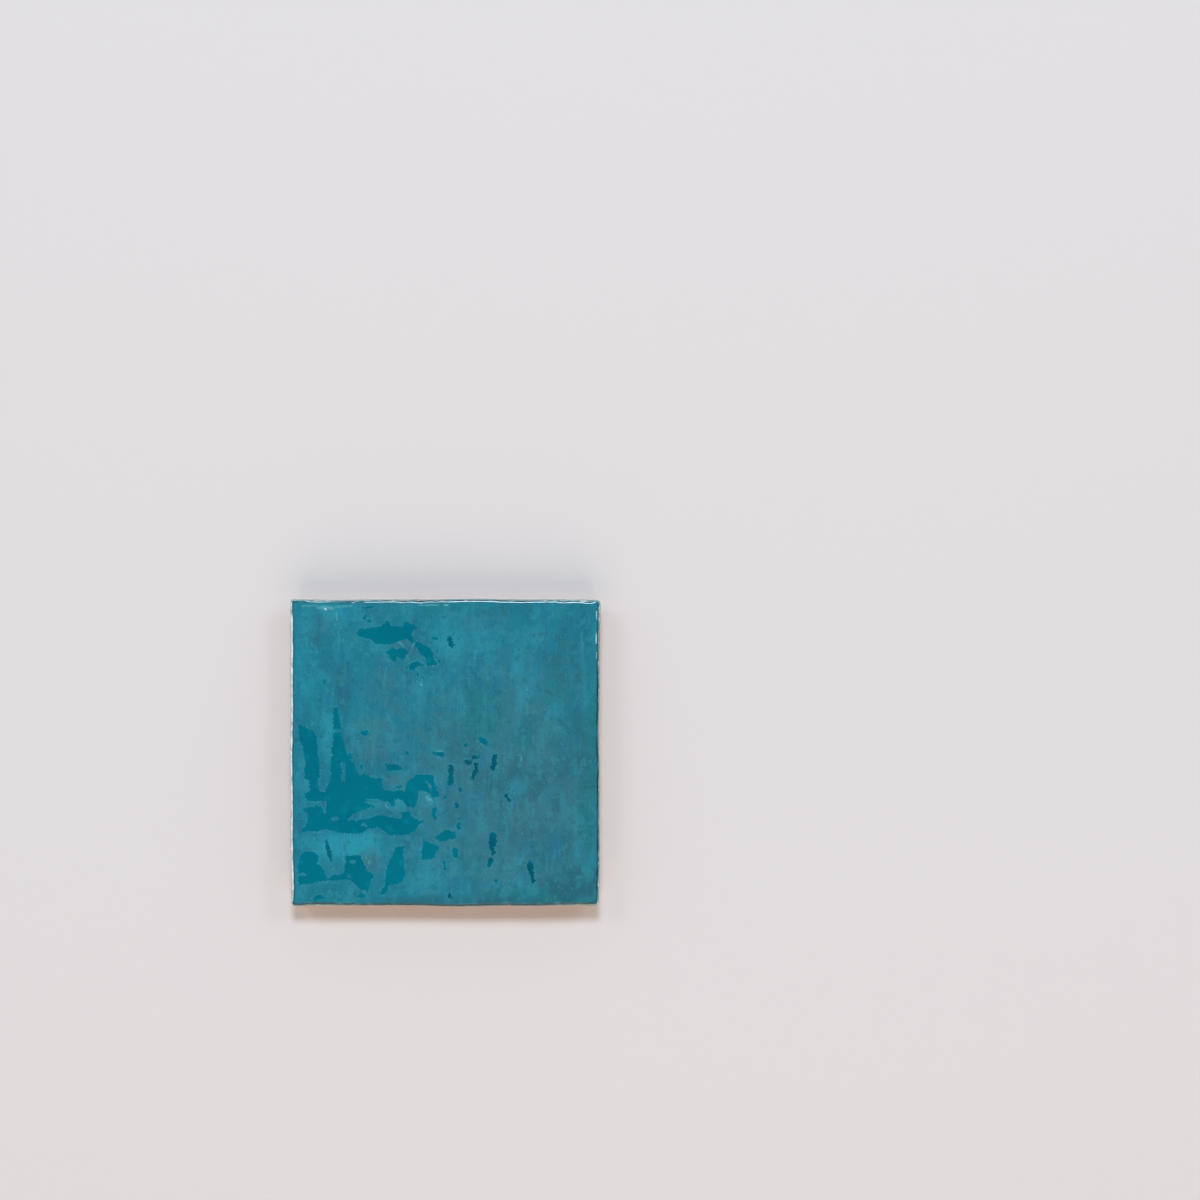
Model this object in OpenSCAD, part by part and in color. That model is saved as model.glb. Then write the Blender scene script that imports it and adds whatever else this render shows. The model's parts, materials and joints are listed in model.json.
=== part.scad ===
// Square zellige wall tile, hand cut and glazed, lying on its back.
// Millimetres. The origin is the middle of the back, +Z points out of the glazed face, and
// +Y points to the far edge, which is cut a little wider than the near one.

/* [Tile] */
// Width of the tile over its glazed edges, left to right
face_w = 100; // [70:1:150]
// Length of the tile over its glazed edges, near to far
face_l = 99; // [70:1:150]
// Thickness from the back to the mean level of the glazed face
thick = 11.5; // [9:0.5:16]
// Radius of the four corners, seen from above
corner_r = 1.2; // [0.8:0.1:3]
// How much narrower the near edge is cut than the far edge
plan_taper = 0.4; // [0:0.1:1.5]

/* [Glazed face] */
// Height of the waves in the hand-pressed face, above and below its mean level
wave_h = 0.25; // [0:0.05:0.5]
// Crest to crest length of the longest wave
wave_len = 62; // [40:1:120]
// Depth of the hollows in which the glaze pooled
pool_depth = 0.18; // [0:0.02:0.4]
// How far the face falls away at its edges
edge_fall = 0.3; // [0:0.05:0.6]
// Width of the band in which the face falls away
fall_band = 6; // [4:0.5:12]

/* [Glazed edge] */
// Radius of the edge that the glaze rolls over
arris_r = 0.9; // [0.6:0.1:1.4]
// Depth of the glazed lip under the rolled edge
lip_h = 1.2; // [0.6:0.1:2.5]
// How far the lip's lower end runs up and down
lip_run = 0.4; // [0:0.05:0.5]
// Step in from the glazed lip to the bare clay
lip_step = 0.12; // [0.04:0.02:0.4]
// Depth of the deepest chip in the rolled edge
chip_depth = 0.5; // [0:0.05:0.6]

/* [Cut sides] */
// How far each cut edge wanders in or out of straight
wander = 0.2; // [0:0.02:0.5]
// Angle at which the sides are cut in towards the back, in degrees
side_angle = 8; // [0:0.5:15]
// Depth of the hammer cuts along the bare clay
cut_depth = 0.3; // [0:0.05:0.5]
// Mean length of one hammer cut along the side
cut_len = 8; // [6:0.5:14]
// Width of the worn edge round the back
back_edge = 0.7; // [0.2:0.1:1.2]

/* [Hidden] */

glaze_colour = "#1f8096";

// The face is a grid of square cells, and the sides have three times as many steps.
face_cells = 30;
cell_steps = 3;
side_steps = face_cells * cell_steps;
around = 4 * side_steps;

// Angles at which the rolled edge has a row of points, from the face down.
arris_angles = [30, 60, 90];
// Heights at which the bare clay has a row of points, as shares of its own height.
clay_shares = [0.66, 0.33];

// Waves of the face: [share of wave_len, direction in degrees, share of wave_h, phase in degrees].
face_waves = [
    [1.00, 24, 0.44, 40],
    [0.61, 112, 0.26, 205],
    [0.43, 65, 0.18, 95],
    [0.29, 158, 0.12, 310],
];

// Hollows of the face: [middle in x and in y as shares of half the face, radius in x, radius in y,
// share of pool_depth].
face_pools = [
    [-0.66, -0.36, 12, 17, 1.0],
    [-0.28, -0.30, 16, 8, 0.8],
    [-0.62, -0.80, 18, 8, 0.9],
    [-0.30, 0.72, 13, 6, 0.9],
    [0.10, -0.62, 7, 10, 0.6],
    [0.52, -0.20, 16, 20, 0.5],
];

// Waves of a cut edge: [length, share of wander].
edge_waves = [[71, 0.62], [27, 0.38]];

// The sides, anticlockwise from above, and the phase of what waves along each, in degrees.
near = 0;
right = 1;
far = 2;
left = 3;
phases = [35, 140, 255, 80];

// Chips of the rolled edge: [side, place along it as a share of half its length, half width,
// share of chip_depth].
edge_chips = [
    [right, 0.92, 1.8, 0.6],
    [right, 0.80, 2.4, 1.0],
    [right, 0.58, 2.6, 0.9],
    [right, 0.14, 2.0, 0.5],
    [far, -0.93, 2.4, 0.8],
    [far, 0.18, 2.2, 0.5],
    [left, -0.20, 2.0, 0.45],
    [left, 0.86, 2.2, 0.6],
    [near, -0.90, 2.4, 0.7],
    [near, 0.42, 2.6, 0.5],
    [near, 0.93, 2.0, 0.9],
];

function sum(v, i = 0) = i < len(v) ? v[i] + sum(v, i + 1) : 0;

// 1 at distance 0, falling smoothly to 0 at the distance reach and beyond.
function fade(distance, reach) = distance >= reach ? 0 : pow(1 - max(distance, 0) / reach, 2);

function half_length(side) = (side == near || side == far ? face_w : face_l) / 2;

// How far a cut edge stands out at place s along it, counted from the side's middle.
function edge_out(side, s) =
    wander * sum([for (w = edge_waves) w[1] * sin(360 * s / w[0] + phases[side] * (1 + w[1]))]);

// Moves a point of the true rectangle to where the hand-cut outline has it.
function hand_cut(p) =
    let (
        to_right = 0.5 + p.x / face_w,
        to_far = 0.5 + p.y / face_l,
        narrowed = 1 - (1 - to_far) * plan_taper / face_w
    )
    [
        p.x * narrowed + to_right * edge_out(right, p.y) - (1 - to_right) * edge_out(left, p.y),
        p.y + to_far * edge_out(far, p.x) - (1 - to_far) * edge_out(near, p.x)
    ];

// Height of the glazed face over the back at a point of the true rectangle.
function face_z(p) =
    let (
        waves = sum([
            for (w = face_waves)
            w[2] * sin(360 * (p.x * cos(w[1]) + p.y * sin(w[1])) / (w[0] * wave_len) + w[3])
        ]),
        pools = sum([
            for (h = face_pools)
            let (dx = (p.x - h[0] * face_w / 2) / h[2], dy = (p.y - h[1] * face_l / 2) / h[3])
            h[4] * exp(-dx * dx - dy * dy)
        ]),
        fall_x = fade(face_w / 2 - abs(p.x), fall_band),
        fall_y = fade(face_l / 2 - abs(p.y), fall_band)
    )
    thick + wave_h * waves - pool_depth * pools - edge_fall * (1 - (1 - fall_x) * (1 - fall_y));

// Place of grid line t along a side of the given half length. The end cells are the corners.
function station(t, half) =
    t <= 1 ? -half + t * corner_r
    : t >= face_cells - 1 ? half - (face_cells - t) * corner_r
    : -half + corner_r + (t - 1) * 2 * (half - corner_r) / (face_cells - 2);

// Rounds the corner cells of a rectangle with the given half sizes.
function rounded(p, half_w, half_l) =
    let (a = abs(p.x) - (half_w - corner_r), b = abs(p.y) - (half_l - corner_r))
    a <= 0 || b <= 0 ? p
    : [
        sign(p.x) * (half_w - corner_r + a * sqrt(1 - b * b / (2 * corner_r * corner_r))),
        sign(p.y) * (half_l - corner_r + b * sqrt(1 - a * a / (2 * corner_r * corner_r)))
    ];

// Steps round the outline run anticlockwise from the near left corner.
function side_of(k) = floor(k / side_steps);
function line_of(k) = (k - side_of(k) * side_steps) / cell_steps;
function place_of(k) = station(line_of(k), half_length(side_of(k)));

// 0 at the corners and 1 away from them, so that what waves along two sides meets at a corner.
function off_corner(k) = 1 - fade(half_length(side_of(k)) - abs(place_of(k)), 4);

// Step k of the true rectangle's outline, taken in by inset.
function outline(k, inset) =
    let (
        side = side_of(k),
        half_w = face_w / 2 - inset,
        half_l = face_l / 2 - inset,
        across = station(line_of(k), half_w),
        along = station(line_of(k), half_l)
    )
    rounded(
        side == near ? [across, -half_l]
        : side == right ? [half_w, along]
        : side == far ? [-across, half_l]
        : [-half_w, -along],
        half_w, half_l
    );

// A point of the side that hangs from the face by drop.
function hung_point(k, inset, drop) =
    let (p = outline(k, inset), q = hand_cut(p))
    [q.x, q.y, face_z(p) - drop];

// A point of the side at height z over the back.
function clay_point(k, inset, z) =
    let (q = hand_cut(outline(k, inset)))
    [q.x, q.y, z];

// Depth of the chips at step k.
function chip(k) =
    chip_depth * sum([
        for (c = edge_chips)
        c[0] == side_of(k) ? c[3] * fade(abs(place_of(k) - c[1] * half_length(c[0])), c[2]) : 0
    ]);

// The rolled edge at angle a. A chip is a flat at 45 degrees that takes the round away, and its
// brow stays outside the rim of the face.
function arris_point(k, a) =
    let (
        inset = arris_r * (1 - sin(a)),
        drop = arris_r * (1 - cos(a)),
        flat = arris_r * (2 - sqrt(2)) + chip(k) * sqrt(2),
        bite = min(max(0, (flat - inset - drop) / 2), 0.9 * (arris_r - inset))
    )
    hung_point(k, inset + bite, drop + bite);

// Drop from the face to the lower end of the lip.
function lip_end(k) =
    let (s = place_of(k), phase = phases[side_of(k)])
    arris_r + lip_h + lip_run * off_corner(k) * (0.6 * sin(s * 15 + phase) + 0.4 * sin(s * 41 + 2 * phase));

// Depth of the hammer cuts at step k: arches of uneven length with ridges between them, which
// shift along the side from one row to the next.
function hammer_cut(k, row) =
    let (s = place_of(k) + 1.6 * sin(place_of(k) * 13 + phases[side_of(k)]))
    cut_depth * off_corner(k) * abs(sin(180 * s / cut_len + phases[side_of(k)] + 40 * row));

// The bare clay starts under the lip, at clay_top where the face has its mean level.
clay_top = thick - edge_fall - arris_r - lip_h - lip_step;
function clay_inset(z) = lip_step + (clay_top - z) * tan(side_angle);
back_rows = len(clay_shares) + 1;

steps = [0 : around - 1];
side_rows = concat(
    [for (a = arris_angles) [for (k = steps) arris_point(k, a)]],
    [
        [for (k = steps) hung_point(k, 0, lip_end(k))],
        [for (k = steps) hung_point(k, lip_step + hammer_cut(k, 0), lip_end(k) + lip_step)]
    ],
    [for (i = [0 : len(clay_shares) - 1])
        let (z = clay_shares[i] * clay_top)
        [for (k = steps) clay_point(k, clay_inset(z) + hammer_cut(k, i + 1), z)]],
    [for (down = [0, 1])
        let (z = (1 - down) * back_edge, worn = down * back_edge)
        [for (k = steps) clay_point(k, clay_inset(z) + worn + hammer_cut(k, back_rows), z)]]
);

face_points =
    let (half_w = face_w / 2 - arris_r, half_l = face_l / 2 - arris_r)
    [
        for (i = [0 : face_cells], j = [0 : face_cells])
        let (p = rounded([station(i, half_w), station(j, half_l)], half_w, half_l), q = hand_cut(p))
        [q.x, q.y, face_z(p)]
    ];

function on_face(i, j) = i * (face_cells + 1) + j;

// Grid point n of the face's rim, anticlockwise as the steps are.
function on_rim(n) =
    let (side = floor(n / face_cells) % 4, t = n % face_cells)
    side == near ? on_face(t, 0)
    : side == right ? on_face(face_cells, t)
    : side == far ? on_face(face_cells - t, face_cells)
    : on_face(0, face_cells - t);

function on_side(row, k) = len(face_points) + row * around + k % around;

face_triangles = [
    for (i = [0 : face_cells - 1], j = [0 : face_cells - 1])
    let (a = on_face(i, j), b = on_face(i + 1, j), c = on_face(i + 1, j + 1), d = on_face(i, j + 1))
    each (i + j) % 2 == 0 ? [[a, c, b], [a, d, c]] : [[a, d, b], [b, d, c]]
];

// From each edge of the rim to the shorter edges of the first side row.
rim_triangles = [
    for (n = [0 : 4 * face_cells - 1])
    let (a = on_rim(n), b = on_rim(n + 1), first = n * cell_steps, middle = ceil(cell_steps / 2))
    each concat(
        [for (m = [0 : cell_steps - 1])
            [m < middle ? a : b, on_side(0, first + m + 1), on_side(0, first + m)]],
        [[a, b, on_side(0, first + middle)]]
    )
];

side_triangles = [
    for (row = [0 : len(side_rows) - 2], k = steps)
    let (a = on_side(row, k), b = on_side(row, k + 1), c = on_side(row + 1, k + 1), d = on_side(row + 1, k))
    each [[a, b, c], [a, c, d]]
];

back_face = [for (k = steps) on_side(len(side_rows) - 1, k)];

// One fired piece: the glaze is fused to the clay.
module tile() {
    color(glaze_colour)
        polyhedron(
            points = concat(face_points, [for (row = side_rows) each row]),
            faces = concat(face_triangles, rim_triangles, side_triangles, [back_face]),
            convexity = 4
        );
}

tile();
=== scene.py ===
import json

import bpy
import numpy as np
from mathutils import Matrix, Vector, noise
from mathutils.kdtree import KDTree

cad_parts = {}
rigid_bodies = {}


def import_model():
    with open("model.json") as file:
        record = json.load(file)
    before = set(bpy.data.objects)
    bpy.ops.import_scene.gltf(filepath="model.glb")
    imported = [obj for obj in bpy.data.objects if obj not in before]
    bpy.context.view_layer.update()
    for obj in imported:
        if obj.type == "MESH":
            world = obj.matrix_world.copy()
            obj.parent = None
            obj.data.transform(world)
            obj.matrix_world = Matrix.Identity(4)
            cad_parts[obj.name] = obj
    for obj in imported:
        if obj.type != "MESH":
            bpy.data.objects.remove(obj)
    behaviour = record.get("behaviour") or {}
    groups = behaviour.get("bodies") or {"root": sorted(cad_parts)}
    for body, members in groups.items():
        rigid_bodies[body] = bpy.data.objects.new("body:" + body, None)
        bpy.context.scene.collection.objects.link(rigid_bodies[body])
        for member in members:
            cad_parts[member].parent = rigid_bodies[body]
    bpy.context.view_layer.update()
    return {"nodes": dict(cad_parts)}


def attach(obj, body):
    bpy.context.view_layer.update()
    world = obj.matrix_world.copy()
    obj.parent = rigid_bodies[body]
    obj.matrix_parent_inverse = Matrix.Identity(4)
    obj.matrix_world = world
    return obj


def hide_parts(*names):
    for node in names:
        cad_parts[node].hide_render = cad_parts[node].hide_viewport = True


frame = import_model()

mm = 0.001  # every length below is in millimetres, and this turns it to metres


def linear(hexColour):  # an sRGB hex colour as the linear one that a shader takes
    parts = [int(hexColour[i:i + 2], 16) / 255 for i in (1, 3, 5)]
    return [p / 12.92 if p <= 0.04045 else ((p + 0.055) / 1.055) ** 2.4 for p in parts] + [1.0]


def addNode(tree, kind, settings=None, links=None):
    node = tree.nodes.new("ShaderNode" + kind)
    for name, value in (settings or {}).items():  # a property, or an input by its name or number
        if isinstance(name, str) and hasattr(node, name):
            setattr(node, name, value)
        else:
            node.inputs[name].default_value = linear(value) if isinstance(value, str) else value
    for name, source in (links or {}).items():  # a socket, or a node for its first output in use
        if isinstance(source, bpy.types.Node):
            source = next(s for s in source.outputs if s.enabled)
        tree.links.new(source, node.inputs[name])
    return node


def selectOnly(thing):
    bpy.ops.object.select_all(action="DESELECT")
    thing.select_set(True)
    bpy.context.view_layer.objects.active = thing


def selectFaces(thing, wanted):  # wanted says yes or no to each polygon
    for part in (thing.data.vertices, thing.data.edges):
        part.foreach_set("select", np.zeros(len(part), bool))
    thing.data.polygons.foreach_set("select", np.array([wanted(f) for f in thing.data.polygons], bool))


def editFaces(thing, wanted, *steps):  # runs edit-mode steps on the wanted polygons
    selectOnly(thing)
    selectFaces(thing, wanted)
    bpy.ops.object.mode_set(mode="EDIT")
    for step in steps:
        step()
    bpy.ops.object.mode_set(mode="OBJECT")


def places(thing):  # vertex places in millimetres
    flat = np.empty(len(thing.data.vertices) * 3, np.float32)
    thing.data.vertices.foreach_get("co", flat)
    return flat.reshape(-1, 3).astype(float) / mm


def normals(thing):
    flat = np.empty(len(thing.data.vertices) * 3, np.float32)
    thing.data.vertex_normals.foreach_get("vector", flat)
    return flat.reshape(-1, 3).astype(float)


def storeValue(thing, name, values):  # one number a vertex, which the finish reads
    layer = thing.data.attributes.get(name) or thing.data.attributes.new(name, "FLOAT", "POINT")
    layer.data.foreach_set("value", np.asarray(values, np.float32))


# The glaze stands in clear dark pools and elsewhere lies as a paler veil, whose paler, greyer tone is partly
# the glaze's own and partly a painted reflection of a soft light that the pools don't show. Outlines are in
# mm from the tile's middle.
glazeLook = {
    "pools": [
        [(-28.7, 38.6), (-27, 40.1), (-24, 40.3), (-20.7, 40.9), (-18.7, 42.6), (-16.4, 40.9),
         (-13.7, 40.6), (-12.7, 42.4), (-9, 40.9), (-11, 38.3), (-10.2, 36.6), (-4.7, 33.6),
         (-3.4, 30.3), (-2.7, 28.6), (-5.7, 27.6), (-6, 29.9), (-8.4, 32.6), (-11.4, 36.3),
         (-15, 36.3), (-17, 35.1), (-21.4, 34.9), (-24, 36.6), (-27.4, 37.1)],
        [(-18.7, 32.4), (-17.4, 33.9), (-15.4, 33.3), (-14, 34.3), (-11.7, 32.6), (-13.4, 29.9),
         (-15.4, 30.9), (-16, 29.3), (-17.4, 29.9)],
        [(-12.7, 27.3), (-11, 28.9), (-8.4, 29.6), (-7.4, 28.3), (-10.4, 26.6)],
        [(-27.4, 46.8), (-24.7, 47.3), (-22.4, 47.1), (-25.4, 46.3)],
        [(-27.7, 6.9), (-25, 7.3), (-24.9, 5.8), (-26.7, 5.3)],
        [(-47.5, 9.3), (-45, 8.6), (-43.7, 7.3), (-41.7, 7.3), (-40.8, -1), (-40.2, -7.5),
         (-41.2, -9.5), (-40.7, -12.5), (-38.5, -12.6), (-38.5, -15.6), (-44.8, -15.5),
         (-45.3, -13.2), (-43.3, -12.3), (-43.6, -10), (-45, -8), (-45.4, 0.6), (-47, 4.3)],
        [(-36.2, 14.8), (-34.7, 14.8), (-34.4, 12.9), (-33.5, 7.3), (-36, 7.6)],
        [(-35.9, 6.3), (-33.7, 6.6), (-32.5, 2.3), (-32, 0), (-29.4, -4), (-27.7, -7.4), (-26, -6.4),
         (-24, -7.9), (-20.5, -8.1), (-20, -12), (-13, -12.4), (-12.2, -9.4), (-9.4, -7.1),
         (-6.4, -6.9), (-3.7, -7.4), (-2.4, -12.4), (-1.7, -14.1), (-4, -14.4), (-6.4, -12.1),
         (-8.4, -12.7), (-9, -16.1), (-10.4, -17.6), (-13, -17.1), (-13.4, -15.1), (-16, -15.1),
         (-16.7, -17.1), (-19.7, -15.4), (-25.4, -14.8), (-26, -15.9), (-23, -17.2),
         (-29.4, -19.4), (-31, -21.7), (-27.4, -21.9), (-21.4, -19.9), (-14.4, -21.4),
         (-14, -19.1), (-11.7, -18.7), (-10.4, -21.1), (-6.7, -21.9), (-8.7, -24.1),
         (-11.7, -26.4), (-17.4, -26.7), (-22, -23.7), (-27.4, -26.1), (-31.4, -26.1),
         (-38, -25), (-39.5, -23), (-38.4, -19), (-38.8, -12.5), (-37, -9), (-36.4, 1.5)],
        [(-46, -18.7), (-45, -17.9), (-40, -17), (-39.5, -19), (-38, -20), (-38.5, -24.8),
         (-40, -25.2), (-46.2, -25.3), (-44.5, -22.5), (-44.3, -20)],
        [(-47, -33), (-45.5, -32), (-43, -31.6), (-40.7, -33.4), (-41, -35.4), (-39.4, -37),
         (-38, -40.7), (-36, -39.4), (-32.7, -39), (-32, -35), (-32.4, -33.3), (-27.4, -33.1),
         (-25.4, -37.4), (-23, -39.7), (-25, -44.7), (-28, -43.4), (-31, -41), (-40.7, -41.4),
         (-44, -42.4), (-47, -42.7), (-47.6, -38)],
        [(-15.7, -30.5), (-13.4, -30.3), (-13.4, -35.5), (-12.7, -38.5), (-14, -42), (-18, -43),
         (-19, -45.7), (-21, -45.5), (-19.4, -42), (-19, -37.5), (-16.7, -32.5)],
        [(-7, -27.8), (-5, -29.3), (-1.5, -30.2), (-4, -34.4), (-7.7, -34.3), (-7.5, -31)],
        [(-3, -27.3), (-1.7, -26.1), (1.3, -24.6), (3.6, -26.1), (3.3, -27.7), (-1, -28.9)],
        [(-4, -17.9), (-2.5, -17.5), (-3, -21.4), (-4.2, -20.5)],
        [(-43.7, -47), (-40.5, -45.8), (-38.7, -46.8), (-41, -47.4)],
        [(-28.5, -46.5), (-27, -45.2), (-25.2, -46), (-27, -47)],
        [(-19.7, -3.4), (-15.4, -3.7), (-14, -5.1), (-16.7, -5.9), (-18.7, -5.7)],
    ],
    # Strokes of the same dark glaze: x and y of both ends, and half the width.
    "flecks": [
        (1.9, -4.6, 1.8, -9.6, 0.85), (9.6, -1.4, 10.4, -1.5, 0.5), (6.8, -2.8, 8.2, -3.2, 0.7),
        (9.8, -3.8, 10.1, -5.6, 0.75), (10.1, -5.6, 8.8, -8, 0.75), (16.1, -1.3, 15.6, -4.9, 0.8),
        (5, -11.4, 5.1, -11.8, 0.5), (-0.5, -14.4, 0.3, -14.4, 0.4), (3.8, -16.5, 3.9, -17.2, 0.5),
        (19.7, -13.9, 20.8, -15.2, 0.5), (4.4, -23, 4.5, -24.8, 0.5), (3.2, -31.4, 3.4, -33.2, 0.8),
        (-0.2, -35.1, 0, -37.2, 0.5), (15.5, -26.9, 15.6, -29, 1.2), (15, -30.4, 15.4, -32.4, 0.7),
        (14.6, -34.8, 14.2, -36, 0.9), (27.5, -35.9, 27.6, -37.6, 1), (27.6, -38.6, 28.5, -41.7, 0.6),
        (1.4, -45.5, 1.5, -46.2, 0.6), (16.4, -41.1, 16.5, -41.3, 0.4), (1.2, 36.8, 2, 34.9, 0.8),
        (11.6, 4.4, 12.8, 3.4, 0.8), (6.4, 2.6, 6.6, 2.4, 0.6), (-1.6, -0.2, -1.2, -0.3, 0.7),
        (-38.4, 23.4, -38.9, 22.8, 0.6), (-30.7, -0.4, -30.4, -1.4, 0.6), (-27, -4, -27.1, -5.2, 0.4),
        (-12.4, 0.1, -12.2, 0, 0.5), (-3.7, -0.1, -1.4, -0.1, 0.5), (-15.4, -11, -14.6, -11.1, 0.4),
        (-38.2, -28.4, -37.5, -32, 0.45), (-37.5, -32, -36.7, -34.7, 0.45),
        # A burst bubble's ring and loose drops.
        (-35.1, 38.9, -34.9, 38, 0.22), (-34.8, 37.8, -34.1, 37.5, 0.22), (-33.6, 37.7, -33, 38.4, 0.2),
        (-34.6, 39.6, -34, 39.7, 0.18), (-26, 43.6, -25.7, 44.6, 0.3), (-24.8, 42.6, -24.2, 42.4, 0.3),
        (-4, 37, -2.6, 36.8, 0.35), (-2.6, 33.6, -2.4, 32.8, 0.3), (-2, 30, -1.8, 29.6, 0.3),
        (-9, 26, -8.8, 25.2, 0.2), (-7, 24.2, -6.6, 23.8, 0.2), (-43.4, 21, -43.2, 20.2, 0.2),
    ],
    # Strokes of the veil that cross a pool.
    "gaps": [
        (-33, -3.7, -32.7, -9, 0.5), (-35.9, -21.4, -35.5, -21.2, 0.7), (-26.6, -23, -25.9, -23.2, 0.6),
        (-5.9, -9.4, -4.4, -12, 0.35), (-30.2, -35, -29.6, -35.3, 0.6), (-30.9, -39.6, -30.5, -39.8, 0.5),
        (-47, -39.2, -45.6, -39.4, 0.4),
    ],
    # Patches where the veil is another tone, partly the glaze's own and partly the unevenness of its painted
    # reflection: x and y of the middle, half the width, half the height, and strength.
    "washes": {
        "pale": [
            (-27, -30, 19, 5, 1), (-46, -8, 4, 17, 0.25), (-45, 28, 5, 18, 0.5), (-6, -15, 4, 3, 1),
            (-36, 45, 12, 5, 0.6), (6, 34, 16, 13, 0.5), (30, 38, 10, 8, 0.3), (-45, 20, 2.5, 20, 0.5),
            (-4, -42, 14, 6, 0.5), (-16, -16, 9, 3, 0.7), (17, -36, 9, 8, 0.3), (-38, 5, 3, 9, 0.5),
            (8, -29, 9, 6, 0.3),
        ],
        "dusk": [
            (44, -45, 15, 9, 1), (12, -48.5, 38, 3, 0.8), (22, -9, 17, 9, 0.6), (42, -2, 9, 16, 0.5),
            (-44, -49, 12, 2.5, 0.4), (38, 30, 11, 12, 0.4), (33, -30, 13, 9, 0.5), (6, 2, 12, 9, 0.35),
            (-41.5, 40, 2.2, 7, 0.7), (-33, 21, 3, 9, 0.7), (-12, 24, 3, 8, 0.4), (36, -17, 4, 7, 0.5),
            (20, 46, 14, 3, 0.4),
        ],
        "slate": [
            (24, -12, 42, 46, 0.8), (-18, 20, 9, 11, 0.5), (-22, 4, 10, 12, 0.6), (-14, -9, 9, 4, 0.6),
            (-12, 34, 6, 4, 0.8), (-24, -35, 4, 5, 0.8), (12, 42, 12, 5, 0.4), (-40, 42, 5, 6, 0.4),
        ],
        "green": [
            (12, 12, 9, 14, 0.6), (47.5, 4, 3.5, 42, 0.6), (36, 12, 6, 18, 0.4), (30, -47, 18, 3.5, 0.9),
            (46, -20, 4, 18, 0.6), (-44, 10, 4, 13, 0.4), (-36, -45, 14, 5, 0.35),
            (2, 47, 22, 3, 0.4), (24, 4, 6, 6, 0.4),
        ],
    },
    # Where the pools and flecks lie darker: the same numbers.
    "deepPools": [
        (10, -5, 13, 9, 1), (3, -12, 5, 14, 0.6), (15, -31, 3, 7, 0.8), (28, -39, 3, 5, 1),
        (20, -14, 3, 3, 0.8), (1, 36, 4, 3, 0.6), (-37, -32, 3, 5, 0.6), (1.5, -46, 2, 2, 0.8),
        (-16, -4, 5, 3, 0.5),
    ],
    # Sides where the pale line along the edge is painted duller and thinner: painted shade on the sides that
    # lie in shadow.
    "wornSides": [(50, 0, 3, 70, 0.9), (0, -50, 70, 3, 1.3), (0, 50, 70, 3, 0.9)],
    # Pale marks: thin places and burst pinholes, and painted highlights and glints along the far edge and on
    # a pinhole: x and y of both ends, half the width, and 1 for a milky place or 2 for a raised lip or glint
    # that shows almost white.
    "thinAndGlint": [
        (-46.5, 47.3, -42, 47.5, 0.5, 1), (-41, 46.9, -36, 46.7, 1, 1), (-38.8, 47, -38.4, 46.1, 0.35, 2),
        (-35, 47.1, -30, 47.4, 0.6, 1), (-35, 45.3, -34.9, 43, 0.45, 1), (-9, 47.6, -2, 47.7, 0.45, 1),
        (-6.2, 47.7, -4.6, 47.7, 0.25, 2), (0, 47.7, 1.4, 47.8, 0.2, 2), (-7.5, 22, -7.2, 22.6, 0.25, 2),
        (-1.4, 22.6, -1.2, 22.2, 0.3, 1), (24.2, -0.8, 24.6, -2.3, 0.7, 1), (24.3, -1.2, 24.4, -1.5, 0.3, 2),
        (-2.6, 0.6, -0.6, 0.4, 0.35, 1), (-14.8, 35.6, -13.6, 34.6, 0.4, 1), (-10.6, 34, -9.8, 35.6, 0.4, 1),
        (-25.6, -33.4, -24.2, -36.2, 0.6, 1), (-6, -14.4, -4.4, -15.6, 0.9, 1), (26, 20.6, 26.6, 20, 0.4, 1),
        (-19.2, -16.6, -18.4, -18, 0.5, 1), (-33.6, -27.4, -33, -29, 0.3, 1),
        (48.9, 45.5, 48.9, 43.2, 0.3, 2), (48.8, 38.6, 48.8, 35.4, 0.35, 2), (49, 32.6, 49, 30.4, 0.3, 2),
    ],
    "reach": 8,  # how far from a pool its distance is kept
    "edgeCell": 0.6,  # cells this near a pool's edge are cut finer
}


def outlineDistance(points, outline):  # positive inside the outline
    ends = np.array(outline, float)
    starts = np.roll(ends, 1, axis=0)
    nearest = np.full(len(points), 1e9)
    inside = np.zeros(len(points), bool)
    for a, b in zip(starts, ends):
        nearest = np.minimum(nearest, strokeDistance(points, a, b))
        crosses = (a[1] > points[:, 1]) != (b[1] > points[:, 1])
        rise = b[1] - a[1] if b[1] != a[1] else 1e-9
        inside ^= crosses & (points[:, 0] < (b[0] - a[0]) * (points[:, 1] - a[1]) / rise + a[0])
    return np.where(inside, nearest, -nearest)


def strokeDistance(points, a, b):
    along = np.subtract(b, a)
    share = np.clip((points - a) @ along / max(along @ along, 1e-9), 0, 1)
    return np.linalg.norm(points - a - share[:, None] * along, axis=1)


def poolField(points):  # distance in mm into the nearest pool, below 0 outside them all
    field = np.full(len(points), -float(glazeLook["reach"]))
    for outline in glazeLook["pools"]:
        field = np.maximum(field, outlineDistance(points, outline))
    for x0, y0, x1, y1, half in glazeLook["flecks"]:
        field = np.maximum(field, half - strokeDistance(points, (x0, y0), (x1, y1)))
    for x0, y0, x1, y1, half in glazeLook["gaps"]:
        field = np.minimum(field, strokeDistance(points, (x0, y0), (x1, y1)) - half)
    return field


def washField(points, patches):  # 1 in the middle of a patch and 0 outside it
    field = np.zeros(len(points))
    for x, y, wide, tall, strength in patches:
        away = np.hypot((points[:, 0] - x) / wide, (points[:, 1] - y) / tall)
        field = np.maximum(field, strength * np.clip(1.35 - away, 0, 1))
    return field


def thinAndGlintField(points):  # 1 on the milky places and painted highlights, 2 on the raised lips and painted glints
    field = np.zeros(len(points))
    for x0, y0, x1, y1, half, strength in glazeLook["thinAndGlint"]:
        share = np.clip(1.3 - strokeDistance(points, (x0, y0), (x1, y1)) / half, 0, 1)
        field = np.maximum(field, strength * share)
    return field


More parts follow.
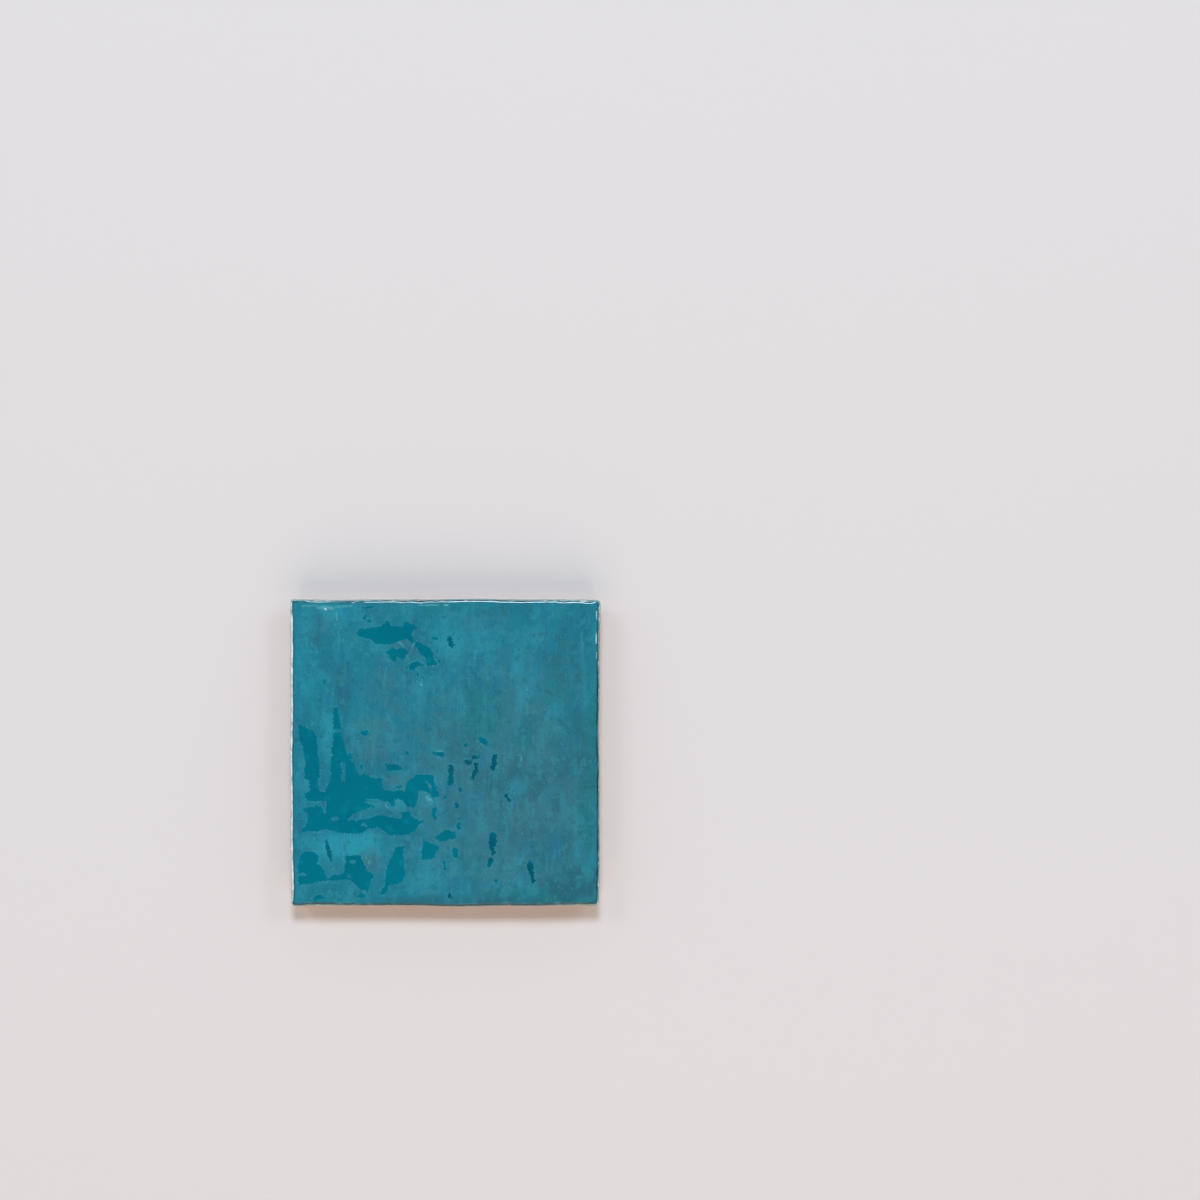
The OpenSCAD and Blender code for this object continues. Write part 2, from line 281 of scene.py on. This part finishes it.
tileShape = {
    "levels": 2,  # each level cuts a cell of the construction mesh in four and rounds it
    "faceLevel": 10.6,  # above this height a point that looks up is on the glazed face
    "arrisZ": 10.3,  # height at which the rolled edge becomes the upright lip
    "clayLine": 8.7,  # mean height of the glaze's lower edge on the sides
    "clayRun": 1.1,  # how far that edge runs up and down
    "glazeBead": 0.07,  # how far the lower edge of the glaze swells
    "swell": 0.09,  # waves of the glaze, 16 mm long
    "ripple": 0.03,  # and its ripples, 4 mm long
    "scoops": 0.34,  # depth of the hollows that the hammer leaves in the sides, 5 mm wide
    "clayGrain": 0.13,  # relief of the clay between them
    "clayPits": 0.5,  # depth of the grit holes in it
    "backGrain": 0.05,
    "backRings": (0.97,),  # rings of the flat back, each a share of the one outside it
    # Chips in the rolled edge: x and y of the middle, and half the width.
    "chips": [
        (50.2, 45.2, 1.3), (50.2, 39.2, 1.1), (50.2, 29, 1.5), (50.2, 6.9, 1.1), (46.5, 49.8, 1.2),
        (-9, 49.8, 1.2), (-50, 9.9, 1.2), (-50, -42.6, 1.4), (-45, -49.7, 1.3), (21, -49.7, 1.1),
        (46.5, -49.7, 1.2), (50.2, 36.4, 0.9), (50.2, 33.3, 1.1), (-50, -20, 0.9), (-27, -49.7, 0.8),
    ],
    "chipDepth": 0.22,
    "nicks": 0.1,  # depth of the small nicks between the chips
}


def buildTile():
    shape = tileShape
    source = frame["nodes"]["tile"]
    selectOnly(source)
    bpy.ops.object.duplicate()
    tile = bpy.context.active_object
    bpy.ops.object.parent_clear(type="CLEAR_KEEP_TRANSFORM")
    tile.name = "glazed_tile"
    for label in [k for k in tile.keys() if k.startswith("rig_")]:
        del tile[label]
    tile.data.materials.clear()

    editFaces(
        tile, lambda f: True,
        lambda: bpy.ops.mesh.remove_doubles(threshold=0.001 * mm),
        lambda: bpy.ops.mesh.tris_convert_to_quads(),
    )
    editFaces(  # the flat back is left open while the rest is rounded
        tile, lambda f: f.center.z < 0.01 * mm,
        lambda: bpy.ops.mesh.delete(type="FACE"),
    )
    rounder = tile.modifiers.new("round", "SUBSURF")
    rounder.levels = rounder.render_levels = shape["levels"]
    selectOnly(tile)
    bpy.ops.object.modifier_apply(modifier=rounder.name)

    for width in (1.0, 0.5):  # the face is cut finer along the pools' edges
        field = np.abs(poolField(places(tile)[:, :2]))
        high = places(tile)[:, 2] > shape["faceLevel"]
        near = (field < glazeLook["edgeCell"] * width) & high
        editFaces(
            tile, lambda f: all(high[v] for v in f.vertices) and any(near[v] for v in f.vertices),
            lambda: bpy.ops.mesh.subdivide(number_cuts=1),
        )
    print("tile: rounded and cut finer,", len(tile.data.polygons), "faces")
    return tile


def selectRim():  # the open edge, in edit mode
    bpy.ops.mesh.select_all(action="DESELECT")
    bpy.ops.mesh.select_non_manifold()


def closeBack(tile):
    selectOnly(tile)
    bpy.ops.object.mode_set(mode="EDIT")
    bpy.ops.mesh.select_mode(type="EDGE")
    for share in tileShape["backRings"]:
        selectRim()
        bpy.ops.mesh.extrude_edges_move()
        bpy.ops.transform.resize(value=(share, share, 1), center_override=(0, 0, 0))
    selectRim()
    bpy.ops.mesh.edge_face_add()
    bpy.ops.mesh.select_all(action="SELECT")
    bpy.ops.mesh.normals_make_consistent(inside=False)
    bpy.ops.mesh.select_mode(type="VERT")
    bpy.ops.object.mode_set(mode="OBJECT")


def edgeDistance(tile):  # mm from the outline in plan on the face, and below 0 down the sides
    spots, looks = places(tile), normals(tile)
    upright = np.flatnonzero((np.abs(looks[:, 2]) < 0.3) & (spots[:, 2] > tileShape["arrisZ"] - 1))
    tree = KDTree(len(upright))
    for i in upright:
        tree.insert(Vector((spots[i, 0], spots[i, 1], 0)), int(i))
    tree.balance()
    away = np.array([tree.find(Vector((x, y, 0)))[2] for x, y, _ in spots])
    down = np.minimum(spots[:, 2] - tileShape["arrisZ"], 0)
    return np.where((looks[:, 2] > 0.1) & (spots[:, 2] > tileShape["arrisZ"] - 0.4), away, down)


def roughen(tile):
    shape = tileShape
    spots, looks = places(tile), normals(tile)
    edge = edgeDistance(tile)
    line = shape["clayLine"] + shape["clayRun"] * np.array(
        [noise.noise(Vector((x, y, 0)) * 0.12) + 0.6 * noise.noise(Vector((x, y, 7)) * 0.35)
         for x, y, _ in spots])
    below = line - spots[:, 2]  # mm under the glaze's lower edge
    below[looks[:, 2] < -0.7] = 9
    bare = np.clip(0.5 + below / 0.3, 0, 1)
    onArris = np.clip(1.6 - np.abs(edge - 0.1) / 0.5, 0, 1) * (edge > -1.2)
    chip = np.zeros(len(spots))
    for x, y, half in shape["chips"]:
        away = np.sqrt((spots[:, 0] - x) ** 2 + (spots[:, 1] - y) ** 2 + (2.8 * (edge + 0.2)) ** 2)
        chip = np.maximum(chip, np.clip(1.5 - away / half, 0, 1))

    push = np.zeros(len(spots))
    for i, (x, y, z) in enumerate(spots):
        p = Vector((x, y, z))
        if bare[i] > 0.02:
            flat = z < 0.5
            grain = noise.fractal(p * 0.7, 0.8, 2.1, 4)
            pit = max(0, noise.noise(p * 0.8 + Vector((30, 0, 0))) - 0.4)
            if flat:
                push[i] += bare[i] * shape["backGrain"] * grain
            else:
                near, second = noise.voronoi(Vector((x / 5.5, y / 5.5, z / 4)))[0][:2]
                ridge = min(1, (second - near) / 0.5)
                push[i] -= bare[i] * (shape["scoops"] * ridge * (0.4 + 0.6 * min(1, z / 2)) - 0.1)
                push[i] += bare[i] * (shape["clayGrain"] * grain - shape["clayPits"] * pit * 2.4)
        if bare[i] < 0.98:
            bead = shape["glazeBead"] * np.exp(-((below[i] + 0.25) / 0.25) ** 2)
            swell = shape["swell"] * noise.noise(p / 16) + shape["ripple"] * noise.noise(p / 4.4)
            push[i] += (1 - bare[i]) * (swell + (bead if edge[i] < 0 else 0))
        if onArris[i] > 0:
            nick = max(0, noise.noise(p * 0.4 + Vector((0, 11, 0))) - 0.2) / 0.5
            push[i] -= onArris[i] * shape["nicks"] * nick * (1 + 1.5 * chip[i])
            chip[i] = min(1, chip[i] + 0.3 * nick * onArris[i])
        if chip[i] > 0:
            push[i] -= chip[i] * shape["chipDepth"] * (1 + 0.8 * noise.noise(p * 1.6))
    spots += looks * push[:, None]
    spots[:, 2] = np.maximum(spots[:, 2], 0)
    tile.data.vertices.foreach_set("co", (spots * mm).astype(np.float32).ravel())
    tile.data.update()

    storeValue(tile, "pool", np.where(looks[:, 2] > 0.7, poolField(spots[:, :2]), -glazeLook["reach"]))
    for name, patches in glazeLook["washes"].items():
        storeValue(tile, name, washField(spots[:, :2], patches) * (looks[:, 2] > 0.5))
    storeValue(tile, "worn", washField(spots[:, :2], glazeLook["wornSides"]))
    storeValue(tile, "deep", washField(spots[:, :2], glazeLook["deepPools"]))
    storeValue(tile, "thinAndGlint", thinAndGlintField(spots[:, :2]) * (looks[:, 2] > 0.7))
    storeValue(tile, "edge", edge)
    storeValue(tile, "below", below)
    storeValue(tile, "chip", chip)
    print("tile: relief and edge wear done")


# Copper-green lead glaze, brushed and fired: a glass skin, dark and clear where it pools and milky where it
# is thin, with a paler veil that is partly painted reflection and pale marks that are partly painted
# highlights. At every edge it gathers in a dark line, partly painted shade, and then draws back to a pale
# one, partly painted highlight, that is painted duller on the shaded sides.
def copperGlaze(tree, place, fields):
    look = {
        "pool": "#007A90", "poolDeep": "#007489", "poolThin": "#06869A", "poolDark": "#07566B",
        # veil: the glaze's tone lightened by a painted reflection
        "veilAndSheen": "#248499",
        "pale": "#2FA3B8", "dusk": "#2E6B7B", "slate": "#437E8C", "green": "#21828A",
        # The milky colour and the rim colour also serve as painted highlights; the dark line colour and the
        # dull rim colour are partly painted shade.
        "thinAndGlint": "#6CC6CE", "line": "#0E3F47", "rim": "#EEF8F7", "rimDullAndShaded": "#86B0AD",
        # Grain of the veil, coarse to fine: colour, size in mm across X and along Y, noise from
        # and to, strength. The long ones are the brush's streaks.
        "grain": [
            ("#23758C", 12, 18, 0.50, 0.68, 0.5), ("#359BB0", 10, 14, 0.52, 0.70, 0.5),
            ("#2B7FA0", 7, 8, 0.52, 0.68, 0.4), ("#3A8F97", 6, 7, 0.54, 0.70, 0.35),
            ("#3B9DB1", 3.6, 22, 0.52, 0.70, 0.25), ("#2A7288", 4.2, 26, 0.52, 0.70, 0.3),
            ("#45A3B4", 1.2, 8, 0.56, 0.76, 0.25), ("#26708A", 1.6, 11, 0.56, 0.76, 0.3),
            ("#3C98AA", 2.6, 3.4, 0.54, 0.68, 0.4), ("#226E82", 2.2, 3, 0.55, 0.68, 0.4),
            ("#1C6679", 0.7, 0.8, 0.60, 0.70, 0.5), ("#56AEBA", 0.6, 0.7, 0.62, 0.72, 0.5),
        ],
    }
    soft = {"interpolation_type": "SMOOTHSTEP"}  # a Map Range that eases from input 1 to input 2
    tone = {"data_type": "RGBA"}  # a Mix of colours 6 and 7 by share 0
    noises = {}
    for name, size, detail, rough in (  # size in mm
            ("coarse", 20, 2, 0.5), ("tear", 2, 5, 0.66), ("fine", 0.5, 2, 0.5), ("edge", 2.6, 3, 0.5),
            ("rim", 1.3, 4, 0.6), ("patch", 4, 4, 0.6), ("haze", 1.4, 4, 0.5), ("swell", 3, 2, 0.5)):
        settings = {"Scale": 1 / size, "Detail": detail, "Roughness": rough}
        noises[name] = addNode(tree, "TexNoise", settings, {"Vector": place})

    # Veil: a paler tone that is partly painted reflection, then patches of tone with ragged edges, then
    # grain and streaks.
    veilAndSheen = addNode(tree, "RGB")
    veilAndSheen.outputs[0].default_value = linear(look["veilAndSheen"])
    for name in ("pale", "slate", "green", "dusk"):
        ragged = addNode(tree, "Math", {"operation": "MULTIPLY_ADD", 1: 1.1},
                         {0: noises["patch"], 2: fields[name]})
        mask = addNode(tree, "MapRange", {**soft, 1: 0.6, 2: 1.4, 4: 0.85}, {0: ragged})
        veilAndSheen = addNode(tree, "Mix", {**tone, 7: look[name]}, {0: mask, 6: veilAndSheen})
    for number, (colour, wide, tall, low, high, share) in enumerate(look["grain"]):
        shift = {"Location": (37 * number, 19 * number, 0), "Scale": (1 / wide, 1 / tall, 1 / wide)}
        turned = addNode(tree, "Mapping", shift, {"Vector": place})
        grain = addNode(tree, "TexNoise", {"Scale": 1, "Detail": 3, "Roughness": 0.55}, {"Vector": turned})
        mask = addNode(tree, "MapRange", {**soft, 1: low, 2: high, 4: share}, {0: grain})
        veilAndSheen = addNode(tree, "Mix", {**tone, 7: colour}, {0: mask, 6: veilAndSheen})

    # Pools: the drawn outline, torn by noise 2 mm and 0.5 mm across, with a thin skirt and a pale
    # line round it in places.
    torn = addNode(tree, "Math", {"operation": "MULTIPLY_ADD", 1: 2.6},
                   {0: noises["tear"], 2: fields["pool"]})
    torn = addNode(tree, "Math", {"operation": "MULTIPLY_ADD", 1: 0.9}, {0: noises["fine"], 2: torn})
    torn = addNode(tree, "Math", {"operation": "SUBTRACT", 1: 1.75}, {0: torn})
    poolMask = addNode(tree, "MapRange", {**soft, 1: -0.1, 2: 0.1}, {0: torn})
    inner = addNode(tree, "MapRange", {**soft, 1: 0.35, 2: 0.65}, {0: noises["coarse"]})
    deep = addNode(tree, "Mix", {**tone, 6: look["pool"], 7: look["poolDeep"]}, {0: inner})
    thinner = addNode(tree, "MapRange", {**soft, 1: 0.54, 2: 0.7, 4: 0.7}, {0: noises["patch"]})
    deep = addNode(tree, "Mix", {**tone, 7: look["poolThin"]}, {0: thinner, 6: deep})
    dark = addNode(tree, "MapRange", {**soft, 1: 0.2, 2: 0.9, 4: 0.8}, {0: fields["deep"]})
    deep = addNode(tree, "Mix", {**tone, 7: look["poolDark"]}, {0: dark, 6: deep})
    near = addNode(tree, "MapRange", {**soft, 1: -1.1, 2: 0}, {0: torn})
    skirt = addNode(tree, "Math", {"operation": "MULTIPLY"}, {0: near, 1: thinner})
    colour = addNode(tree, "Mix", {**tone, 7: look["poolThin"]}, {0: skirt, 6: veilAndSheen})
    outside = addNode(tree, "MapRange", {**soft, 1: -0.75, 2: -0.2}, {0: torn})
    breaks = addNode(tree, "MapRange", {**soft, 1: 0.46, 2: 0.64, 4: 0.5}, {0: noises["rim"]})
    halo = addNode(tree, "Math", {"operation": "MULTIPLY"}, {0: outside, 1: breaks})
    colour = addNode(tree, "Mix", {**tone, 7: look["pale"]}, {0: halo, 6: colour})
    colour = addNode(tree, "Mix", tone, {0: poolMask, 6: colour, 7: deep})

    # Thin places: broken flecks of milky glaze, and painted highlights near the far edge.
    flecked = addNode(tree, "Math", {"operation": "MULTIPLY_ADD", 1: 1.2},
                      {0: noises["fine"], 2: fields["thinAndGlint"]})
    flecks = addNode(tree, "MapRange", {**soft, 1: 1.0, 2: 1.9, 4: 0.6}, {0: flecked})
    colour = addNode(tree, "Mix", {**tone, 7: look["thinAndGlint"]}, {0: flecks, 6: colour})
    # Raised lips and painted glints, almost white.
    lipsAndGlints = addNode(tree, "MapRange", {**soft, 1: 1.9, 2: 2.5, 4: 0.9}, {0: flecked})
    colour = addNode(tree, "Mix", {**tone, 7: look["rim"]}, {0: lipsAndGlints, 6: colour})

    # Edges, by the distance in mm from the outline; on the shaded sides the rim is painted thinner and
    # duller and the dark line stronger, as painted shade.
    ragged = addNode(tree, "Math", {"operation": "MULTIPLY_ADD", 1: 0.5},
                     {0: noises["edge"], 2: fields["edge"]})
    ragged = addNode(tree, "Math", {"operation": "MULTIPLY_ADD", 1: 0.35},
                     {0: fields["worn"], 2: ragged})
    # The dark line inside the pale rim: partly glaze gathered at the edge and partly painted shade, stronger
    # on the shaded sides.
    outer = addNode(tree, "MapRange", {**soft, 1: 1.7, 2: 1.25}, {0: ragged})
    broken = addNode(tree, "Math", {"operation": "MULTIPLY_ADD", 1: 0.3},
                     {0: fields["worn"], 2: noises["patch"]})
    broken = addNode(tree, "MapRange", {**soft, 1: 0.6, 2: 0.8, 3: 0.35, 4: 0.95}, {0: broken})
    line = addNode(tree, "Math", {"operation": "MULTIPLY"}, {0: outer, 1: broken})
    colour = addNode(tree, "Mix", {**tone, 7: look["line"]}, {0: line, 6: colour})
    over = addNode(tree, "MapRange", {**soft, 1: 1.0, 2: 0.8}, {0: ragged})
    lower = addNode(tree, "Math", {"operation": "MULTIPLY_ADD", 1: 1.6},
                    {0: noises["edge"], 2: fields["edge"]})
    under = addNode(tree, "MapRange", {**soft, 1: 0.3, 2: 0.85}, {0: lower})
    band = addNode(tree, "Math", {"operation": "MULTIPLY"}, {0: over, 1: under})
    patchy = addNode(tree, "Math", {"operation": "MULTIPLY_ADD", 1: -0.25},
                     {0: fields["worn"], 2: noises["patch"]})
    patchy = addNode(tree, "MapRange", {**soft, 1: 0.15, 2: 0.35, 3: 0.7}, {0: patchy})
    band = addNode(tree, "Math", {"operation": "MULTIPLY"}, {0: band, 1: patchy})
    # Where the rim turns dull: at random, lower down the sides, and on the shaded sides as painted shade.
    dull = addNode(tree, "Math", {"operation": "MULTIPLY_ADD", 1: 0.3},
                   {0: fields["worn"], 2: noises["edge"]})
    drop = addNode(tree, "MapRange", {1: 0.25, 2: -0.15, 4: 0.45}, {0: fields["edge"]})
    dull = addNode(tree, "Math", {"operation": "ADD"}, {0: dull, 1: drop})
    worn = addNode(tree, "MapRange", {**soft, 1: 0.5, 2: 0.74}, {0: dull})
    # The pale rim: glaze thinned on the edge, brightened as a painted highlight, and turned to the duller
    # colour where painted shade falls.
    rim = addNode(tree, "Mix", {**tone, 6: look["rim"], 7: look["rimDullAndShaded"]}, {0: worn})
    colour = addNode(tree, "Mix", tone, {0: band, 6: colour, 7: rim})

    gloss = addNode(tree, "MapRange", {3: 0.05, 4: 0.01}, {0: poolMask})
    rough = addNode(tree, "Math", {"operation": "MULTIPLY_ADD", 1: 0.08}, {0: noises["haze"], 2: gloss})
    rough = addNode(tree, "Math", {"operation": "MULTIPLY_ADD", 1: 0.08}, {0: band, 2: rough})
    height = addNode(tree, "Math", {"operation": "MULTIPLY", 1: 0.03}, {0: noises["swell"]})  # mm
    height = addNode(tree, "Math", {"operation": "MULTIPLY_ADD", 1: -0.012}, {0: poolMask, 2: height})
    height = addNode(tree, "Math", {"operation": "MULTIPLY_ADD", 1: 0.02}, {0: flecks, 2: height})
    holes = addNode(tree, "TexVoronoi", {"Scale": 0.22, "Randomness": 1.0}, {"Vector": place})
    pinhole = addNode(tree, "MapRange", {**soft, 1: 0.12, 2: 0.0, 4: -0.03}, {0: holes.outputs["Distance"]})
    height = addNode(tree, "Math", {"operation": "ADD"}, {0: height, 1: pinhole})
    return {"colour": colour, "rough": rough, "height": height}


# Fired red-buff clay, cut with a hammer: matt and grainy, with pale grog and dark grit.
def firedClay(tree, place):
    look = {
        "body": "#C4967A",
        # Colour, grain size in mm, detail, noise from and to, strength.
        "layers": [
            ("#D9BBA0", 11, 5, 0.38, 0.62, 0.8), ("#AD7B60", 5, 6, 0.48, 0.72, 0.55),
            ("#B58871", 1.1, 4, 0.50, 0.70, 0.5), ("#E2CFBA", 0.8, 4, 0.55, 0.72, 0.5),
            ("#EADCC8", 0.6, 2, 0.68, 0.72, 1), ("#6E5144", 0.5, 2, 0.70, 0.75, 0.9),
        ],
    }
    soft = {"interpolation_type": "SMOOTHSTEP"}
    colour = addNode(tree, "RGB")
    colour.outputs[0].default_value = linear(look["body"])
    for tone, size, detail, low, high, share in look["layers"]:
        grain = addNode(tree, "TexNoise", {"Scale": 1 / size, "Detail": detail}, {"Vector": place})
        mask = addNode(tree, "MapRange", {**soft, 1: low, 2: high, 4: share}, {0: grain})
        colour = addNode(tree, "Mix", {"data_type": "RGBA", 7: tone}, {0: mask, 6: colour})
    coarse = addNode(tree, "TexNoise", {"Scale": 0.9, "Detail": 9, "Roughness": 0.68}, {"Vector": place})
    fine = addNode(tree, "TexNoise", {"Scale": 4, "Detail": 4, "Roughness": 0.6}, {"Vector": place})
    height = addNode(tree, "Math", {"operation": "MULTIPLY", 1: 0.42}, {0: coarse})  # mm
    height = addNode(tree, "Math", {"operation": "MULTIPLY_ADD", 1: 0.1}, {0: fine, 2: height})
    # The low places of the relief are painted darker: painted shade in the hollows.
    hollowShade = addNode(tree, "MapRange", {**soft, 1: 0.47, 2: 0.36, 4: 0.55}, {0: coarse})
    colour = addNode(tree, "Mix", {"data_type": "RGBA", 7: "#7E5A48"}, {0: hollowShade, 6: colour})
    return {"colour": colour, "height": height}


def tileFinish():
    material = bpy.data.materials.new("glazed_clay")
    material.use_nodes = True
    tree = material.node_tree
    tree.nodes.clear()
    soft, tone = {"interpolation_type": "SMOOTHSTEP"}, {"data_type": "RGBA"}
    spot = addNode(tree, "TexCoord")
    place = addNode(tree, "Mapping", {"Scale": (1 / mm, 1 / mm, 1 / mm)}, {"Vector": spot.outputs["Object"]})
    fields = {}
    for name in ("pool", "deep", "edge", "below", "chip", "thinAndGlint", "worn", *glazeLook["washes"]):
        fields[name] = addNode(tree, "Attribute", {"attribute_name": name}).outputs["Fac"]
    glaze = copperGlaze(tree, place, fields)
    clay = firedClay(tree, place)

    tear = addNode(tree, "TexNoise", {"Scale": 1.1, "Detail": 4, "Roughness": 0.6}, {"Vector": place})
    ragged = addNode(tree, "Math", {"operation": "MULTIPLY_ADD", 1: 0.5}, {0: tear, 2: fields["below"]})
    bare = addNode(tree, "MapRange", {**soft, 1: 0.24, 2: 0.34}, {0: ragged})
    stained = addNode(tree, "MapRange", {**soft, 1: 1.3, 2: 0.3, 4: 0.6}, {0: ragged})
    broken = addNode(tree, "Math", {"operation": "MULTIPLY_ADD", 1: 2.2}, {0: tear, 2: fields["chip"]})
    chip = addNode(tree, "MapRange", {**soft, 1: 1.8, 2: 1.9}, {0: broken})
    stained = addNode(tree, "Mix", {**tone, 7: "#D8D6C6"}, {0: stained, 6: clay["colour"]})
    colour = addNode(tree, "Mix", tone, {0: bare, 6: glaze["colour"], 7: stained})
    # A chip shows the pale inside of the clay, with its grain.
    inside = addNode(tree, "Mix", {**tone, 0: 0.7, 7: "#F4EBDD"}, {6: clay["colour"]})
    colour = addNode(tree, "Mix", tone, {0: chip, 6: colour, 7: inside})
    opened = addNode(tree, "Math", {"operation": "MAXIMUM"}, {0: bare, 1: chip})
    rough = addNode(tree, "Mix", {3: 0.9}, {0: opened, 2: glaze["rough"]})
    height = addNode(tree, "Mix", {}, {0: opened, 2: glaze["height"], 3: clay["height"]})
    height = addNode(tree, "Math", {"operation": "MULTIPLY_ADD", 1: -0.1}, {0: chip, 2: height})
    bump = addNode(tree, "Bump", {"Strength": 1.0, "Distance": mm}, {"Height": height})
    shader = addNode(tree, "BsdfPrincipled", {"IOR": 1.52},
                     {"Base Color": colour, "Roughness": rough, "Normal": bump})
    addNode(tree, "OutputMaterial", {}, {"Surface": shader})
    return material


tile = buildTile()
roughen(tile)
closeBack(tile)
selectOnly(tile)
bpy.ops.object.shade_smooth_by_angle(angle=0.9)
tile.data.materials.append(tileFinish())
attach(tile, "root")
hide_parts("tile")

studio = {
    "frameWidth": 387.1,  # mm of floor that the picture spans
    "centre": (50.0, 49.3),  # the point under the camera
    "cameraHeight": 1200,  # above the glazed face
    "faceHeight": 11.5,
    "floor": "#EFEBE9",
    "horizon": "#E6E6E8",
    "walls": "#77777A",
    "windows": 9,  # pale windows round the room, which the glaze mirrors
    "ceiling": "#2E2F30",  # darker than the walls, so that the glaze keeps its depth from above
    # Square lamps round the centre: x, y, z and width in mm, watts, colour. A wide cool one from
    # the far side, a weak one from each side, and a warm one from the near side as fill.
    "lamps": [
        (0, 1180, 2320, 560, 30, "#DDEFFF"),
        (-1480, 950, 1900, 600, 6, "#F4F8FF"),
        (1480, 950, 1900, 600, 6, "#F4F8FF"),
        (0, -1900, 1500, 2400, 25, "#FFDDC0"),
    ],
}


def buildStudio():
    bpy.context.scene.view_settings.view_transform = "Standard"  # keeps the teal as saturated as it is
    x, y = (c * mm for c in studio["centre"])
    bpy.ops.mesh.primitive_plane_add(size=6, location=(x, y, -0.05 * mm))
    floor = bpy.context.active_object
    floor.name = "floor"
    material = bpy.data.materials.new("plaster")
    material.use_nodes = True
    material.node_tree.nodes.clear()
    shader = addNode(material.node_tree, "BsdfPrincipled", {"Base Color": studio["floor"], "Roughness": 0.9})
    addNode(material.node_tree, "OutputMaterial", {}, {"Surface": shader})
    floor.data.materials.append(material)

    for away, along, up, size, watts, colour in studio["lamps"]:
        spot = Vector((x + away * mm, y + along * mm, up * mm))
        turn = (Vector((x, y, 0)) - spot).to_track_quat("-Z", "Y").to_euler()
        bpy.ops.object.light_add(type="AREA", location=spot, rotation=turn)
        light = bpy.context.active_object.data
        light.size, light.energy, light.color = size * mm, watts, linear(colour)[:3]

    world = bpy.data.worlds.new("studio")
    bpy.context.scene.world = world
    world.use_nodes = True
    world.node_tree.nodes.clear()
    tree = world.node_tree
    soft, tone = {"interpolation_type": "SMOOTHSTEP"}, {"data_type": "RGBA"}
    look = addNode(tree, "SeparateXYZ", {}, {0: addNode(tree, "TexCoord").outputs["Generated"]})
    turn = addNode(tree, "Math", {"operation": "ARCTAN2"}, {0: look.outputs[1], 1: look.outputs[0]})
    turn = addNode(tree, "Math", {"operation": "MULTIPLY", 1: studio["windows"]}, {0: turn})
    window = addNode(tree, "Math", {"operation": "SINE"}, {0: turn})
    window = addNode(tree, "MapRange", {**soft, 1: -0.1, 2: 0.5}, {0: window})
    for low, high in ((0.2, 0.25), (0.62, 0.55)):  # sines of the heights where they start and end
        belt = addNode(tree, "MapRange", {**soft, 1: low, 2: high}, {0: look.outputs[2]})
        window = addNode(tree, "Math", {"operation": "MULTIPLY"}, {0: window, 1: belt})
    low = addNode(tree, "MapRange", {1: 0.08, 2: 0.3}, {0: look.outputs[2]})
    sky = addNode(tree, "Mix", {**tone, 6: studio["horizon"], 7: studio["walls"]}, {0: low})
    sky = addNode(tree, "Mix", {**tone, 7: "#FFFFFF"}, {0: window, 6: sky})
    high = addNode(tree, "MapRange", {1: 0.75, 2: 0.97}, {0: look.outputs[2]})
    sky = addNode(tree, "Mix", {**tone, 7: studio["ceiling"]}, {0: high, 6: sky})
    glow = addNode(world.node_tree, "Background", {"Strength": 1.0}, {"Color": sky})
    addNode(world.node_tree, "OutputWorld", {}, {"Surface": glow})

    height = (studio["faceHeight"] + studio["cameraHeight"]) * mm
    bpy.ops.object.camera_add(location=(x, y, height), rotation=(0, 0, 0))
    camera = bpy.context.active_object
    camera.data.lens = camera.data.sensor_width * studio["cameraHeight"] / studio["frameWidth"]
    bpy.context.scene.camera = camera
    print("studio: floor, lamps and camera placed")


buildStudio()
